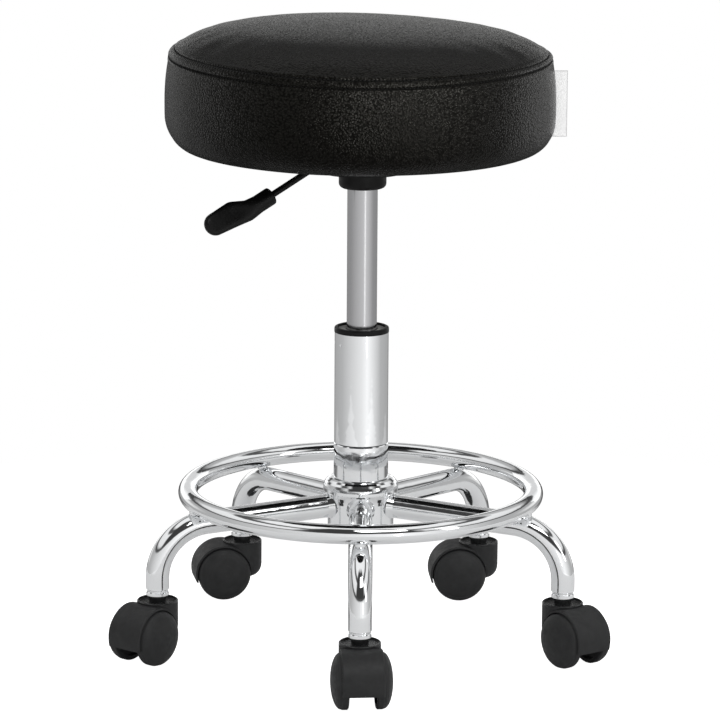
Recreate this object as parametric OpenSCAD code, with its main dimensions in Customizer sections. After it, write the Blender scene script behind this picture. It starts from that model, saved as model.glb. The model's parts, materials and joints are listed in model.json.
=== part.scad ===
// Adjustable swivel stool: round padded seat on a gas lift, five-leg base with a
// foot ring, and five twin-wheel casters. Origin on the floor, on the column's axis.

/* [Seat] */
// Widest diameter of the upholstered seat
seat_d = 357; // [330:1:380]
// Height of the seat's underside above the floor, with the lift fully up
seat_bottom_z = 468; // [467:1:480]
// Height of the top seam above the underside
seat_seam_h = 88; // [76:1:96]
// Height of the widest point above the underside
seat_bulge_h = 43; // [36:1:50]
// How far the top seam sits inside the widest point
seat_seam_inset = 4; // [2:0.5:8]
// Width of the rounded lower corner
seat_corner_w = 36; // [25:1:45]
// Rise of the gentle dome over the whole top
seat_dome_h = 13; // [8:1:20]
// Further rise close to the seam
seat_edge_h = 16; // [10:1:20]
// Thickness of the synthetic leather
leather_t = 1.2; // [0.8:0.1:2]
// Thickness of the plywood board
board_t = 15; // [12:1:18]
// Width of the sewn-in side label that stands out of the seam
label_w = 12; // [8:1:16]
// Height of the side label
label_h = 61; // [40:1:65]

/* [Gas lift] */
// Diameter of the outer column tube
column_d = 50; // [50:0.5:51]
// Height of the column tube's top edge
column_top_z = 297.5; // [290:0.5:300]
// Diameter of the lifting cylinder
cylinder_d = 28; // [28:0.5:29]
// Travel of the height adjustment
lift_stroke = 120; // [100:1:120]

/* [Base] */
// Distance from the column's axis to each caster stem
leg_reach = 197; // [190:1:210]
// Outside diameter of the leg tubes
leg_d = 22; // [20:0.5:22]
// Centreline radius of the bend in each leg
leg_bend_r = 50; // [45:1:55]
// Downward slope of the straight part of each leg, in degrees
leg_slope = 3.5; // [2:0.5:5]
// Height of the lower end of each leg
leg_foot_z = 65.6; // [65:0.1:67]
// Centreline radius of the foot ring
ring_r = 161.5; // [158:0.5:165]
// Tube diameter of the foot ring
ring_d = 18; // [14:0.5:18]
// Height of the foot ring's centreline
ring_z = 145; // [145:0.1:148]

/* [Casters] */
// Diameter of the caster wheels
wheel_d = 51.5; // [50:0.5:51.5]
// Width over both wheels of one caster
caster_w = 56; // [54:1:58]
// Width of the hood between the wheels
hood_w = 38; // [36:1:40]
// Outer radius of the hood about the axle
hood_r = 28.2; // [28.2:0.1:30]
// Offset of the axle behind the stem
caster_trail = 20; // [18:0.5:22]
// Heading of caster 1, at the front, 0 towards the front
caster_1_turn = 5; // [-180:1:180]
// Heading of caster 2, front right
caster_2_turn = 36; // [-180:1:180]
// Heading of caster 3, back right
caster_3_turn = -86; // [-180:1:180]
// Heading of caster 4, back left
caster_4_turn = -80; // [-180:1:180]
// Heading of caster 5, front left
caster_5_turn = -38; // [-180:1:180]

/* [Lever] */
// Direction of the lever round the seat, 0 to the right and 180 to the left
lever_turn = 210; // [180:1:240]
// Downward slope of the lever outside the mounting plate, in degrees
lever_slope = 26.5; // [15:0.5:30]
// Diameter of the lever rod
lever_rod_d = 6; // [5.5:0.5:6.5]
// Turn of the flat handle about the rod, in degrees
handle_twist = 25; // [0:1:90]

/* [Hidden] */
$fn = 64;
LEGS = [1:5];

run_gap = 0.05;  // radial clearance of a running fit

// Seat profile
seat_r = seat_d / 2;
seam_r = seat_r - seat_seam_inset;
seam_z = seat_bottom_z + seat_seam_h;
bulge_z = seat_bottom_z + seat_bulge_h;
edge_power = 8;      // how late the crown turns down
corner_power = 2.85; // squareness of the lower corner
board_z = seat_bottom_z + leather_t;
board_top_z = board_z + board_t;
board_r = seat_r - leather_t - seat_corner_w;
hem_r = board_r - 12;
cover_t = 0.6;
staple_count = 40;

// Mounting plate and its fasteners
plate_t = 2.5;
plate_side = 150;
plate_corner_r = 12;
plate_z = board_z - cover_t - plate_t;
dish_r = 49;
dish_floor_r = 41;
dish_z = 448;
boss_r = 22;
boss_z = 432.5;
boss_top_z = 452;
bolt_pitch = 110;
bolt_r = 3;
bolt_head_h = 4;
nut_flange_r = 9;
nut_flange_t = 1.2;

// Lever
rod_z = 458.5;
rod_bend_x = 44;
rod_inner_x = -4;
lever_pivot_x = 34;
lever_pin_r = 1.75;
handle_x = 95.8;    // where the handle's sleeve starts, along the ground
handle_sleeve_l = 18;
handle_sleeve_r = 8.3;
handle_t = 9;
handle_grip_depth = 26; // how far the rod reaches into the handle

// Gas lift
column_r = column_d / 2;
tube_bore_r = 23.5;
taper_top_r = 23.2;
taper_low_r = 22.2;
taper_bore_r = 20.6;
column_z = 101;
collar_z = 192;
base_disc_z = column_z + 1.5; // disc at the foot of the column, which carries the lift
base_disc_t = 3;
race_t = 1.5;
race_ball_r = 1.5;
race_gap = 0.02;
bumper_z = base_disc_z + base_disc_t + 2 * (race_t + race_ball_r + race_gap) + 0.36;
bumper_h = 7;
cylinder_z = bumper_z + bumper_h + lift_stroke + 1.1;
bush_z = 232;
bush_flange_r = 22.2;
bush_flange_t = 1.8;
cap_washer_t = 1;
cylinder_r = cylinder_d / 2;
cylinder_wall = 2.5;
cylinder_head_z = 434;
cylinder_tip_r = 13.4;
seal_h = 20;
piston_rod_r = 5;
piston_h = 10;
piston_z = 262;
clip_z = column_z + 0.3;
clip_t = 1;
pin_r = 2.5;
pin_top_z = 455.1;
cap_h = 4.8;

// Hub and legs
hub_z = 102.5;
hub_body_r = 30.7;
hub_rim_r = 35;
hub_flare_z = 133;
hub_rim_z = 147;
hub_rim_h = 3;
hub_dome_h = 9.5;
hub_collar_r = 25.35;
leg_r = leg_d / 2;
leg_wall = 1.6;
bend_x = leg_reach - leg_bend_r;
bend_z = 76.1;
bend_start = [bend_x + leg_bend_r * sin(leg_slope), bend_z + leg_bend_r * cos(leg_slope)];
weld_r = 13.2;

// Casters
wheel_r = wheel_d / 2;
socket_r = 19;
socket_top_z = 56;
socket_low_z = 20;
socket_round_w = 10;
socket_round_h = 12;
socket_neck_r = 8;
socket_neck_z = 59.3;
stem_r = 5.5;
stem_low_z = 36;
collar_r = 10.6;
collar_low_z = 59.9;
collar_top_z = 64.2;
collar_neck_r = 9;
axle_r = 3;
axle_l = 46;
wheel_gap = 25;
wheel_shoulder = 19;
hood_t = 1.8;
hood_cut = 16;   // how far below level the hood reaches, in degrees

function leg_turn(i) = 72 * (i - 1);
function caster_turn(i) =
    [caster_1_turn, caster_2_turn, caster_3_turn, caster_4_turn, caster_5_turn][i - 1];

// The seat's outline, inset by t: crown from the axis to the seam, side, lower corner
function crown_points(t) = [
    for (k = [0:14])
        let (f = sin(90 * k / 14), r = (seam_r - t) * f)
        [r, seam_z - t + seat_dome_h * (1 - pow(f, 2)) + seat_edge_h * (1 - pow(f, edge_power))]
];
function side_points(t) = [
    for (k = [1:6])
        let (f = 1 - k / 6)
        [seat_r - t - seat_seam_inset * pow(f, 2), bulge_z + f * (seam_z - t - bulge_z)]
];
function corner_points(t) = [
    for (k = [1:8])
        let (a = 90 * k / 8)
        [
            seat_r - t - seat_corner_w * (1 - pow(cos(a), 2 / corner_power)),
            bulge_z - (seat_bulge_h - t) * pow(sin(a), 2 / corner_power)
        ]
];
function reversed(p) = [for (k = [len(p) - 1:-1:0]) p[k]];

// Places children on leg i, with X outwards
module at_leg(i) {
    rotate([0, 0, leg_turn(i) - 90]) children();
}

// Places children on the stem of caster i, with X towards the axle
module at_caster(i) {
    translate([leg_reach * sin(leg_turn(i)), -leg_reach * cos(leg_turn(i)), 0])
        rotate([0, 0, caster_turn(i) - 90]) children();
}

// Places children at the axle of caster i, with Z along the axle
module at_axle(i) {
    at_caster(i) translate([caster_trail, 0, wheel_r]) rotate([90, 0, 0]) children();
}

// A ring or disc between two radii and two heights
module ring(r_in, r_out, z_low, z_high) {
    rotate_extrude($fn = 96) translate([r_in, z_low]) square([r_out - r_in, z_high - z_low]);
}

// ---- Base ----

module hub_outline() {
    flare = [
        for (k = [0:6])
            let (a = 90 * k / 6)
            [
                hub_body_r + (hub_rim_r - hub_body_r) * (1 - cos(a)),
                hub_flare_z + (hub_rim_z - hub_flare_z) * sin(a)
            ]
    ];
    dome_w = hub_rim_r - hub_collar_r;
    dome = [
        for (k = [0:6])
            let (a = 90 * k / 6)
            [
                hub_collar_r + dome_w * cos(a),
                hub_rim_z + hub_rim_h + hub_dome_h * sin(a)
            ]
    ];
    edge = 0.8;
    polygon(concat(
        [[0, hub_z], [hub_body_r - edge, hub_z], [hub_body_r, hub_z + edge]],
        flare,
        dome,
        [[hub_collar_r, collar_z - edge], [hub_collar_r - edge, collar_z], [0, collar_z]]
    ));
}

module column_taper() {
    translate([0, 0, column_z])
        cylinder(r1 = taper_low_r, r2 = taper_top_r, h = collar_z - column_z, $fn = 96);
}

module hub() {
    color("silver") difference() {
        rotate_extrude($fn = 96) hub_outline();
        column_taper();
    }
}

// One tube along a leg's centreline, X outwards
module leg_run(r, wall) {
    module section() {
        difference() {
            circle(r = r);
            circle(r = r - wall);
        }
    }
    straight_l = (bend_start[0] - hub_body_r / 2) / cos(leg_slope);
    translate([bend_start[0], 0, bend_start[1]]) rotate([0, leg_slope - 90, 0])
        linear_extrude(straight_l) section();
    translate([bend_x, 0, bend_z]) rotate([90, 0, 0])
        rotate_extrude(angle = 90 - leg_slope) translate([leg_bend_r, 0]) section();
    translate([leg_reach, 0, leg_foot_z]) linear_extrude(bend_z - leg_foot_z) section();
}

module leg(i) {
    weld_x = hub_body_r - 2;
    weld_l = 6;
    weld_z = bend_start[1] + (bend_start[0] - weld_x) * tan(leg_slope);
    edge = 1;
    color("silver") at_leg(i) difference() {
        union() {
            leg_run(leg_r, leg_wall);
            translate([weld_x, 0, weld_z]) rotate([0, 90 + leg_slope, 0]) difference() {
                cylinder(r1 = weld_r, r2 = leg_r, h = weld_l);
                translate([0, 0, -1]) cylinder(r = leg_r - leg_wall / 2, h = weld_l + 2);
            }
        }
        rotate_extrude($fn = 96) hub_outline();
        translate([leg_reach, 0, leg_foot_z]) rotate_extrude()
            polygon([
                [leg_r - edge, -1],
                [leg_r + 1, -1],
                [leg_r + 1, edge + 1],
                [leg_r, edge],
                [leg_r - edge, 0]
            ]);
    }
}

module foot_ring() {
    color("silver") translate([0, 0, ring_z])
        rotate_extrude($fn = 96) translate([ring_r, 0]) circle(d = ring_d);
}

module ring_welds() {
    stub_r = 4.5;
    color("silver") for (i = LEGS) at_leg(i) difference() {
        translate([ring_r, 0, ring_z - ring_d]) cylinder(r = stub_r, h = ring_d);
        translate([0, 0, ring_z]) rotate_extrude($fn = 360)
            translate([ring_r, 0]) circle(d = ring_d, $fn = 180);
        translate([bend_x, 0, bend_z]) rotate([90, 0, 0])
            rotate_extrude(angle = 90 - leg_slope, $fn = 360)
                translate([leg_bend_r, 0]) circle(r = leg_r, $fn = 180);
    }
}

module column_tube() {
    shoulder = 1;
    dimple_z = column_top_z - 10.5;
    dimple_r = 2;
    dimple_depth = 0.6;
    dimple_turns = [-141, -175, 5, 39];
    color("gainsboro") difference() {
        union() {
            column_taper();
            translate([0, 0, collar_z]) cylinder(r1 = taper_top_r, r2 = column_r, h = shoulder, $fn = 96);
            translate([0, 0, collar_z + shoulder])
                cylinder(r = column_r, h = column_top_z - collar_z - shoulder, $fn = 96);
        }
        translate([0, 0, column_z - 1]) cylinder(r = taper_bore_r, h = collar_z - column_z + 5, $fn = 96);
        translate([0, 0, collar_z + 3]) cylinder(r = tube_bore_r, h = column_top_z, $fn = 96);
        for (a = dimple_turns) rotate([0, 0, a])
            translate([column_r + dimple_r - dimple_depth, 0, dimple_z]) sphere(r = dimple_r);
    }
}

module column_cap() {
    cap_r = column_r + 0.4;
    cap_in_r = cap_r - 3;
    edge = 1.4;
    color("#202020") rotate_extrude($fn = 96) translate([0, column_top_z]) polygon([
        [cap_in_r, 0],
        [cap_r, 0],
        [cap_r, cap_h - edge],
        [cap_r - edge * 0.3, cap_h - edge * 0.3],
        [cap_r - edge, cap_h],
        [cap_in_r, cap_h]
    ]);
}

module cap_washer() {
    low = column_top_z + bush_flange_t;
    color("gainsboro") ring(cylinder_r + 1.2, bush_flange_r, low, low + cap_washer_t);
}

module guide_bush() {
    color("#303030") {
        ring(cylinder_r + run_gap, tube_bore_r, bush_z, column_top_z);
        ring(cylinder_r + run_gap, bush_flange_r, column_top_z, column_top_z + bush_flange_t);
    }
}

module column_base() {
    color("silver") ring(piston_rod_r + run_gap, taper_bore_r, base_disc_z, base_disc_z + base_disc_t);
}

module thrust_bearing() {
    race_in = 6;
    race_out = 14;
    low_z = base_disc_z + base_disc_t;
    ball_z = low_z + race_t + race_ball_r + race_gap;
    high_z = ball_z + race_ball_r + race_gap;
    color("gainsboro") {
        ring(race_in, race_out, low_z, low_z + race_t);
        for (a = [0:30:330]) rotate([0, 0, a])
            translate([(race_in + race_out) / 2, 0, ball_z]) sphere(r = race_ball_r);
        ring(race_in, race_out, high_z, high_z + race_t);
    }
}

module stem_sockets() {
    color("#404040") for (i = LEGS) at_leg(i) translate([leg_reach, 0, leg_foot_z]) difference() {
        cylinder(r = leg_r - leg_wall, h = bend_z - leg_foot_z);
        translate([0, 0, -1]) cylinder(r = stem_r, h = bend_z - leg_foot_z + 2);
    }
}

module caster_stems() {
    groove_z = 42;
    color("silver") for (i = LEGS) at_leg(i) translate([leg_reach, 0, 0]) difference() {
        translate([0, 0, stem_low_z]) cylinder(r = stem_r, h = bend_z - stem_low_z);
        translate([0, 0, groove_z]) rotate_extrude() translate([stem_r - 0.6, 0]) square([2, 2]);
    }
}

module stem_collars() {
    edge = 0.8;
    color("gainsboro") for (i = LEGS) at_leg(i) translate([leg_reach, 0, 0]) rotate_extrude()
        polygon([
            [stem_r, collar_low_z],
            [collar_r - edge, collar_low_z],
            [collar_r, collar_low_z + edge],
            [collar_r, collar_top_z - edge],
            [collar_r - edge, collar_top_z],
            [collar_neck_r, collar_top_z],
            [collar_neck_r, leg_foot_z],
            [stem_r, leg_foot_z]
        ]);
}

// ---- Piston, which turns with the seat ----

module piston_rod() {
    tip_r = piston_rod_r - 1;
    color("gainsboro") difference() {
        union() {
            translate([0, 0, column_z]) cylinder(r = piston_rod_r, h = piston_z - column_z);
            translate([0, 0, piston_z]) cylinder(r = tip_r, h = piston_h + 2);
        }
        ring(piston_rod_r - 1, piston_rod_r + 1, clip_z, clip_z + clip_t);
    }
}

module piston() {
    color("#505050") difference() {
        ring(piston_rod_r - 1, cylinder_r - cylinder_wall - 0.1, piston_z, piston_z + piston_h);
        translate([0, 0, piston_z + piston_h / 2 - 1])
            ring(cylinder_r - cylinder_wall - 1.5, cylinder_r, 0, 2);
    }
}

module rod_clip() {
    clip_mouth = 3;
    color("#303030") difference() {
        ring(piston_rod_r - 1, piston_rod_r + 4, clip_z, clip_z + clip_t);
        translate([0, -clip_mouth / 2, column_z]) cube([clip_mouth * 5, clip_mouth, clip_mouth]);
    }
}

module bumper() {
    bumper_r = 11;
    color("#181818") ring(piston_rod_r, bumper_r, bumper_z, bumper_z + bumper_h);
}

// ---- Seat ----

module gas_cylinder() {
    edge = 0.6;
    color("silver") difference() {
        rotate_extrude($fn = 96) polygon([
            [0, cylinder_z],
            [cylinder_r - edge, cylinder_z],
            [cylinder_r, cylinder_z + edge],
            [cylinder_r, boss_z],
            [cylinder_tip_r, boss_top_z],
            [0, boss_top_z]
        ]);
        translate([0, 0, cylinder_z - 1])
            cylinder(r = cylinder_r - cylinder_wall, h = cylinder_head_z - cylinder_z + 1);
        translate([0, 0, cylinder_head_z - 1])
            cylinder(r = pin_r + run_gap, h = boss_top_z - cylinder_head_z + 2);
    }
}

module cylinder_seal() {
    inset = 0.6;
    color("#202020")
        ring(piston_rod_r + run_gap, cylinder_r - cylinder_wall, cylinder_z + inset, cylinder_z + seal_h);
}

module socket_boss() {
    edge = 4.5;
    arc = [
        for (k = [0:5])
            let (a = 90 * k / 5)
            [boss_r - edge + edge * sin(a), boss_z + edge - edge * cos(a)]
    ];
    color("#151515") rotate_extrude($fn = 96) polygon(concat(
        [[cylinder_r, boss_z]],
        arc,
        [[boss_r, boss_top_z], [cylinder_tip_r, boss_top_z]]
    ));
}

module plate_holes(r, z_low, z_high) {
    for (x = [-1, 1], y = [-1, 1])
        translate([x * bolt_pitch / 2, y * bolt_pitch / 2, z_low]) cylinder(r = r, h = z_high - z_low);
}

module mounting_plate() {
    flange_low = plate_z;
    flange_top = plate_z + plate_t;
    slot_w = 11;
    in = plate_side / 2 - plate_corner_r;
    color("#181818") difference() {
        union() {
            translate([0, 0, flange_low]) linear_extrude(plate_t) difference() {
                union() {
                    square([plate_side, 2 * in], center = true);
                    square([2 * in, plate_side], center = true);
                    for (x = [-in, in], y = [-in, in]) translate([x, y]) circle(r = plate_corner_r);
                }
                circle(r = dish_r, $fn = 96);
            }
            rotate_extrude($fn = 96) polygon([
                [boss_r, dish_z],
                [dish_floor_r, dish_z],
                [dish_r, flange_low - 1],
                [dish_r, flange_top],
                [dish_r - plate_t - 0.3, flange_top],
                [dish_r - plate_t - 0.3, flange_low - 0.4],
                [dish_floor_r - plate_t + 0.7, dish_z + plate_t],
                [boss_r, dish_z + plate_t]
            ]);
        }
        plate_holes(bolt_r + 0.3, flange_low - 1, flange_top + 1);
        rotate([0, 0, lever_turn]) translate([dish_floor_r - 5, -slot_w / 2, dish_z + plate_t + 0.1])
            cube([dish_r, slot_w, flange_low - 0.5 - dish_z - plate_t]);
    }
}

module lever_bracket() {
    ear_y = 6.5;
    ear_t = 2;
    floor_z = dish_z + plate_t;
    outline = [
        [lever_pivot_x - 7, floor_z],
        [lever_pivot_x + 3.5, floor_z],
        [lever_pivot_x + 4.5, rod_z],
        [lever_pivot_x + 4.5, rod_z + 4.5],
        [lever_pivot_x - 4.5, rod_z + 4.5]
    ];
    color("#303030") rotate([0, 0, lever_turn]) for (y = [-ear_y - ear_t, ear_y])
        translate([0, y + ear_t, 0]) rotate([90, 0, 0]) linear_extrude(ear_t) difference() {
            polygon(outline);
            translate([lever_pivot_x, rod_z]) circle(r = lever_pin_r + run_gap);
        }
}

module plate_bolts() {
    head_r = 5.5;
    color("gainsboro") for (x = [-1, 1], y = [-1, 1])
        translate([x * bolt_pitch / 2, y * bolt_pitch / 2, plate_z]) {
            translate([0, 0, -bolt_head_h]) cylinder(r = head_r, h = bolt_head_h, $fn = 6);
            cylinder(r = bolt_r, h = board_top_z - 2 - plate_z);
            translate([0, 0, -0.8]) cylinder(r = head_r + 1.2, h = 0.8);
        }
}

module tee_nuts() {
    color("silver") for (x = [-1, 1], y = [-1, 1])
        translate([x * bolt_pitch / 2, y * bolt_pitch / 2, 0]) difference() {
            union() {
                translate([0, 0, board_top_z - 10]) cylinder(r = bolt_r + 1.2, h = 10);
                translate([0, 0, board_top_z]) cylinder(r = nut_flange_r, h = nut_flange_t);
            }
            translate([0, 0, board_top_z - 11]) cylinder(r = bolt_r, h = 14);
        }
}

module seat_board() {
    color("burlywood") difference() {
        translate([0, 0, board_z]) cylinder(r = board_r, h = board_t, $fn = 96);
        plate_holes(bolt_r + 0.3, board_z - 1, board_top_z - 10);
        plate_holes(bolt_r + 1.2, board_top_z - 10, board_top_z + 1);
    }
}

module seat_foam() {
    color("khaki") difference() {
        rotate_extrude($fn = 96) polygon(concat(
            crown_points(leather_t),
            side_points(leather_t),
            corner_points(leather_t),
            [[board_r, board_top_z], [0, board_top_z]]
        ));
        plate_holes(nut_flange_r, board_top_z - 1, board_top_z + nut_flange_t);
    }
}

module seat_top_panel() {
    color("#1c1b19") rotate_extrude($fn = 96)
        polygon(concat(crown_points(0), reversed(crown_points(leather_t))));
}

module seat_side_band() {
    seam = [[seam_r, seam_z]];
    seam_in = [[seam_r - leather_t, seam_z - leather_t]];
    color("#1c1b19") rotate_extrude($fn = 96) polygon(concat(
        seam,
        side_points(0),
        corner_points(0),
        [[hem_r, seat_bottom_z], [hem_r, seat_bottom_z + leather_t]],
        reversed(concat(seam_in, side_points(leather_t), corner_points(leather_t)))
    ));
}

module dust_cover() {
    color("#101010") difference() {
        ring(dish_r - plate_t, hem_r, board_z - cover_t, board_z);
        plate_holes(bolt_r + 0.3, board_z - 1, board_z + 1);
    }
}

module staples() {
    staple = [1, 10, 0.6];
    color("gainsboro") for (k = [0:staple_count - 1]) rotate([0, 0, 360 * k / staple_count])
        translate([hem_r + 3, -staple[1] / 2, seat_bottom_z - staple[2]]) cube(staple);
}

module side_label() {
    label_t = 0.8;
    label_z = seat_bottom_z + 13;
    color("white") translate([seat_r, -label_t / 2, label_z]) cube([label_w, label_t, label_h]);
}

// ---- Lever and release pin ----

module lever_rod() {
    rod_r = lever_rod_d / 2;
    knee_r = rod_r + 0.15;
    outer_l = (handle_x - rod_bend_x) / cos(lever_slope) + handle_grip_depth;
    color("#151515") rotate([0, 0, lever_turn]) difference() {
        union() {
            translate([rod_inner_x, 0, rod_z]) rotate([0, 90, 0])
                cylinder(r = rod_r, h = rod_bend_x - rod_inner_x);
            translate([rod_bend_x, 0, rod_z]) sphere(r = knee_r);
            translate([rod_bend_x, 0, rod_z]) rotate([0, 90 + lever_slope, 0])
                cylinder(r = rod_r, h = outer_l);
        }
        translate([lever_pivot_x, lever_rod_d, rod_z]) rotate([90, 0, 0])
            cylinder(r = lever_pin_r, h = 2 * lever_rod_d);
    }
}

module lever_pin() {
    pin_l = 17.4;
    head_r = 2.6;
    head_t = 1;
    color("gainsboro") rotate([0, 0, lever_turn])
        translate([lever_pivot_x, pin_l / 2, rod_z]) rotate([90, 0, 0]) {
            cylinder(r = lever_pin_r, h = pin_l);
            translate([0, 0, -head_t]) cylinder(r = head_r, h = head_t);
            translate([0, 0, pin_l]) cylinder(r = head_r, h = head_t);
        }
}

// A flat disc with a soft edge, standing across Y
module paddle_disc(x, z, r, t) {
    edge = t / 3;
    translate([x, 0, z]) rotate([90, 0, 0]) {
        translate([0, 0, -t / 2]) cylinder(r = r - edge, h = t, $fn = 32);
        translate([0, 0, -t / 2 + edge]) cylinder(r = r, h = t - 2 * edge, $fn = 32);
    }
}

module lever_handle() {
    waist = [27.5, 0.2, 9.6];
    palm = [41, 4.6, 11.8];
    tip = [60, 5.8, 10.4];
    color("#151515") rotate([0, 0, lever_turn]) translate([rod_bend_x, 0, rod_z])
        rotate([0, lever_slope, 0]) translate([(handle_x - rod_bend_x) / cos(lever_slope), 0, 0])
        rotate([handle_twist, 0, 0]) difference() {
            union() {
                hull() {
                    rotate([0, 90, 0]) cylinder(r = handle_sleeve_r, h = handle_sleeve_l, $fn = 32);
                    paddle_disc(waist[0], waist[1], waist[2], handle_t + 2);
                }
                hull() {
                    paddle_disc(waist[0], waist[1], waist[2], handle_t + 2);
                    paddle_disc(palm[0], palm[1], palm[2], handle_t);
                }
                hull() {
                    paddle_disc(palm[0], palm[1], palm[2], handle_t);
                    paddle_disc(tip[0], tip[1], tip[2], handle_t - 1);
                }
            }
            translate([-1, 0, 0]) rotate([0, 90, 0]) cylinder(r = lever_rod_d / 2, h = handle_grip_depth + 1);
        }
}

module release_pin() {
    low = cylinder_head_z + 1;
    color("gainsboro") translate([0, 0, low]) cylinder(r = pin_r, h = pin_top_z - low);
}

// ---- Casters ----

// The hood's ring and the web inside it, before its lower edge is cut; Z along the axle
module hood_drum() {
    hood_in = hood_r - hood_t;
    web = 8;
    edge = 1;
    rotate_extrude($fn = 96) polygon([
        [0, -web / 2],
        [hood_in, -web / 2],
        [hood_in, -hood_w / 2],
        [hood_r - edge, -hood_w / 2],
        [hood_r, edge - hood_w / 2],
        [hood_r, hood_w / 2 - edge],
        [hood_r - edge, hood_w / 2],
        [hood_in, hood_w / 2],
        [hood_in, web / 2],
        [0, web / 2]
    ]);
}

// The upright drum round the stem, with a shallow recess in its top and a short neck
module stem_drum() {
    recess_r = socket_r - 1.8;
    recess_z = socket_top_z - 1.6;
    lip = 0.8;
    foot = [
        for (k = [0:6])
            let (a = 90 * k / 6)
            [
                socket_r - socket_round_w * (1 - sin(a)),
                socket_low_z + socket_round_h * (1 - cos(a))
            ]
    ];
    rotate_extrude($fn = 96) polygon(concat(
        [[0, socket_low_z]],
        foot,
        [
            [socket_r, socket_top_z - lip],
            [socket_r - lip, socket_top_z],
            [recess_r, socket_top_z],
            [recess_r, recess_z],
            [socket_neck_r, recess_z],
            [socket_neck_r, socket_neck_z],
            [0, socket_neck_z]
        ]
    ));
}

module caster_housing(i) {
    boss = 7;
    side_gap = 0.5;
    rim_gap = 0.6;
    cut_w = 4 * hood_r;
    color("#252525") difference() {
        union() {
            at_axle(i) difference() {
                hood_drum();
                rotate([0, 0, -hood_cut]) translate([-cut_w / 2, -cut_w, -hood_w])
                    cube([cut_w, cut_w, 2 * hood_w]);
            }
            at_axle(i) translate([0, 0, -wheel_gap / 2]) cylinder(r = boss, h = wheel_gap);
            at_caster(i) stem_drum();
        }
        // Room for the wheels on both sides
        for (side = [-1, 1]) at_axle(i)
            translate([0, 0, side * (wheel_gap / 2 - side_gap + caster_w / 2)])
                cylinder(r = wheel_r + rim_gap, h = caster_w, center = true, $fn = 96);
        // Bores for the axle and the stem
        at_axle(i) translate([0, 0, -hood_w]) cylinder(r = axle_r, h = 2 * hood_w);
        at_caster(i) translate([0, 0, stem_low_z - 0.3]) cylinder(r = stem_r + run_gap, h = socket_top_z);
    }
}

module caster_axle(i) {
    color("silver") at_axle(i) translate([0, 0, -axle_l / 2]) cylinder(r = axle_r, h = axle_l);
}

// Wheel of caster i on one side: 1 is the left wheel, -1 the right one
module caster_wheel(i, side) {
    inner = wheel_gap / 2;
    outer = caster_w / 2;
    rim_t = 4;
    face_t = 4;
    hub_out_r = 7.5;
    rib_t = 1.6;
    edge = 1;
    dome = [
        for (k = [0:8])
            let (a = 90 * k / 8)
            [(wheel_r - edge / 2) * cos(a), wheel_shoulder + (outer - wheel_shoulder) * sin(a)]
    ];
    color("#252525") at_axle(i) mirror([0, 0, side > 0 ? 1 : 0]) difference() {
        rotate_extrude($fn = 96) polygon(concat(
            [[0, inner + edge / 2], [hub_out_r, inner + edge / 2], [hub_out_r, wheel_shoulder - face_t / 2]],
            [[wheel_r - rim_t, wheel_shoulder - face_t / 2], [wheel_r - rim_t, inner]],
            [[wheel_r - edge, inner], [wheel_r, inner + edge], [wheel_r, wheel_shoulder - edge]],
            dome
        ));
        cylinder(r = axle_r + run_gap, h = axle_l / 2 + 0.5);
    }
}

for (i = LEGS) {
    leg(i);
    caster_housing(i);
    caster_axle(i);
    caster_wheel(i, 1);
    caster_wheel(i, -1);
}
hub();
foot_ring();
ring_welds();
column_tube();
column_cap();
cap_washer();
guide_bush();
column_base();
thrust_bearing();
stem_sockets();
caster_stems();
stem_collars();
piston_rod();
piston();
rod_clip();
bumper();
gas_cylinder();
cylinder_seal();
socket_boss();
mounting_plate();
lever_bracket();
plate_bolts();
tee_nuts();
seat_board();
seat_foam();
seat_top_panel();
seat_side_band();
dust_cover();
staples();
side_label();
lever_rod();
lever_handle();
lever_pin();
release_pin();
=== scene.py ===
"""Looks of the adjustable swivel stool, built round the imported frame. Metres, +Z up, front towards -Y."""

import json
import math

import bmesh
import bpy
import numpy as np
from mathutils import Matrix, Vector, noise
from mathutils.bvhtree import BVHTree


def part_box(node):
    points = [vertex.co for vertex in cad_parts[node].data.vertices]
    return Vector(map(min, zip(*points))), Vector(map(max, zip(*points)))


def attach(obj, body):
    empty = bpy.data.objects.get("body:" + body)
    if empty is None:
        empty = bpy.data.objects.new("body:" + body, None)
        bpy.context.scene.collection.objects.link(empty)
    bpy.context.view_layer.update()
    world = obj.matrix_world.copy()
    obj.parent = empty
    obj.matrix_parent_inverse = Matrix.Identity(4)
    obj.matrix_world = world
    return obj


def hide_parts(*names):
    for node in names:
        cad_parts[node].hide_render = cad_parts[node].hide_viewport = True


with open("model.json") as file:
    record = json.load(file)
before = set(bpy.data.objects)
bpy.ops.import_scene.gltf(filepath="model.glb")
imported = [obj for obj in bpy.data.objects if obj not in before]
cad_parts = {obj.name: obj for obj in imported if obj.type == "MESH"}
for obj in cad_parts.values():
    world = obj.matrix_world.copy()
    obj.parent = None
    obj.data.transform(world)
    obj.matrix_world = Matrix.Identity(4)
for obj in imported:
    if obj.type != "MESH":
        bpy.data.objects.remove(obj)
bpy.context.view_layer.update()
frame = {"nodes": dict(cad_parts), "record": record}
NODES = frame["nodes"]
MM = 0.001
FULL_TURN = 2 * math.pi

# ---- Camera ----

CAMERA_PLACE = (-0.0014, -3.5337, 1.0289)
CAMERA_PITCH = 12.118  # degrees below level
CAMERA_ROLL = 0.35  # degrees
CAMERA_LENS = 194.54  # mm
CAMERA_SENSOR = 36  # mm wide


def make_camera():
    data = bpy.data.cameras.new("camera")
    data.sensor_width = CAMERA_SENSOR
    data.lens = CAMERA_LENS
    camera = bpy.data.objects.new("camera", data)
    bpy.context.scene.collection.objects.link(camera)
    tilt = Matrix.Rotation(math.radians(90 - CAMERA_PITCH), 4, "X")
    roll = Matrix.Rotation(math.radians(CAMERA_ROLL), 4, "Z")
    camera.matrix_world = Matrix.Translation(CAMERA_PLACE) @ tilt @ roll
    bpy.context.scene.camera = camera


make_camera()

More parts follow.
